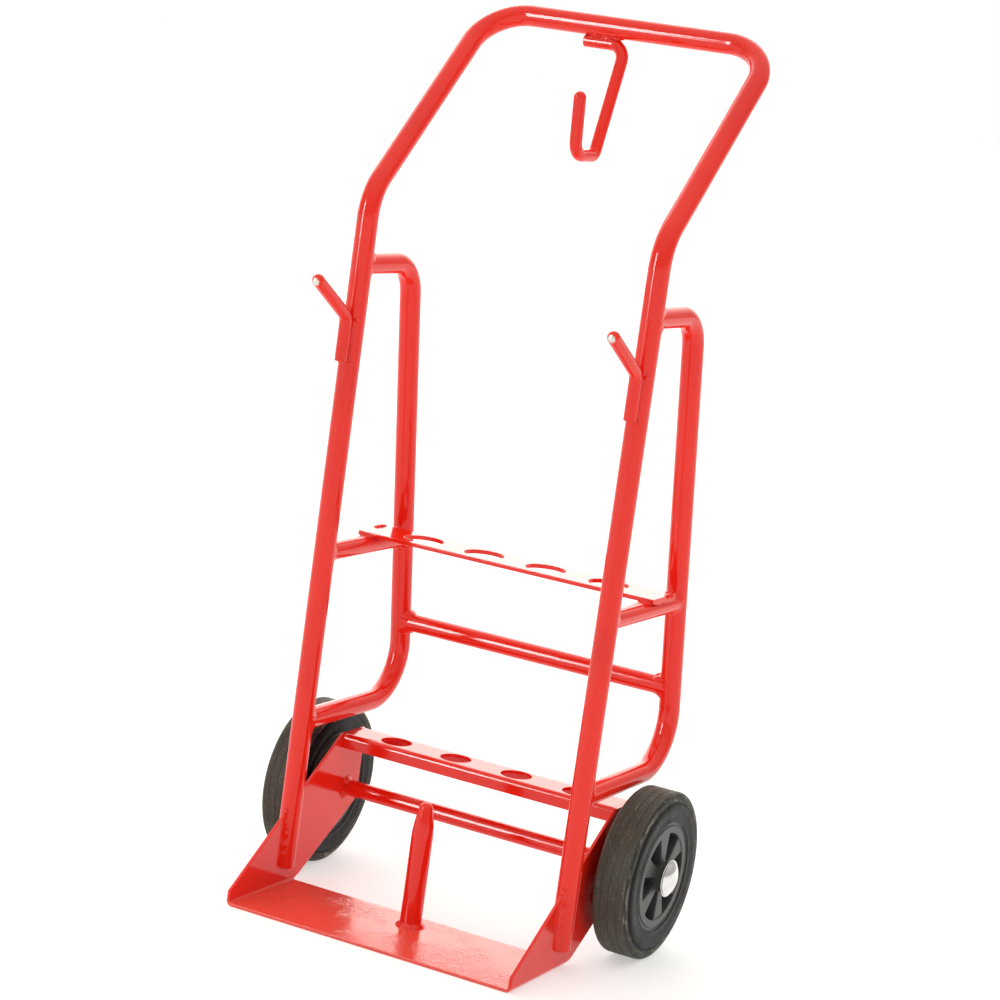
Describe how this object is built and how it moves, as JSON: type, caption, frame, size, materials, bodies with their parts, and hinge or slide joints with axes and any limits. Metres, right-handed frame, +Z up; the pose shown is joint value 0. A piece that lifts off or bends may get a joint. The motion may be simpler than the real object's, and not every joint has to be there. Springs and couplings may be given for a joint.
{
  "type": "hand truck",
  "caption": "Two-wheeled tubular steel hand truck for a demolition hammer, with a folded toe plate, a standing peg, racks with round holes for chisels, rear braces and bar hooks.",
  "frame": {"origin": "centre of the toe plate's underside, on the floor", "axes": "+Z up along the legs, -Y towards the front edge of the toe plate, +X along the axle"},
  "size_m": [0.527, 0.3626, 1.07],
  "materials": {
    "red_paint": "glossy red powder coat over tube, plate and bar, thin at the hook tips",
    "zinc_steel": "zinc plated washers and spring rings",
    "chrome_cap": "bright chrome",
    "rim_plastic": "moulded black plastic, satin",
    "tyre_rubber": "solid rubber with moulding lines, dusty at the shoulders",
    "bush_nylon": "natural nylon"
  },
  "bodies": {
    "frame": {"toe_plate": "red_paint", "main_tube": "red_paint", "rear_brace_right": "red_paint", "rear_brace_left": "red_paint", "side_strut_right": "red_paint", "side_strut_left": "red_paint", "rear_crossbar": "red_paint", "upper_rack": "red_paint", "lower_rack": "red_paint", "peg": "red_paint", "side_hook_right": "red_paint", "side_hook_left": "red_paint", "top_hook": "red_paint", "axle": "red_paint", "inner_washer_right": "zinc_steel", "inner_washer_left": "zinc_steel", "outer_washer_right": "zinc_steel", "outer_washer_left": "zinc_steel", "retaining_ring_right": "zinc_steel", "retaining_ring_left": "zinc_steel", "hub_cap_right": "chrome_cap", "hub_cap_left": "chrome_cap"},
    "wheel_right": {"rim_right": "rim_plastic", "tyre_right": "tyre_rubber", "inner_bush_right": "bush_nylon", "outer_bush_right": "bush_nylon"},
    "wheel_left": {"rim_left": "rim_plastic", "tyre_left": "tyre_rubber", "inner_bush_left": "bush_nylon", "outer_bush_left": "bush_nylon"}
  },
  "joints": [
    {"name": "wheel_right_spin", "type": "hinge", "parent": "frame", "child": "wheel_right", "pos_m": [0.225, 0.1735, 0.1], "axis": [1, 0, 0], "continuous": true},
    {"name": "wheel_left_spin", "type": "hinge", "parent": "frame", "child": "wheel_left", "pos_m": [-0.225, 0.1735, 0.1], "axis": [1, 0, 0], "continuous": true}
  ]
}
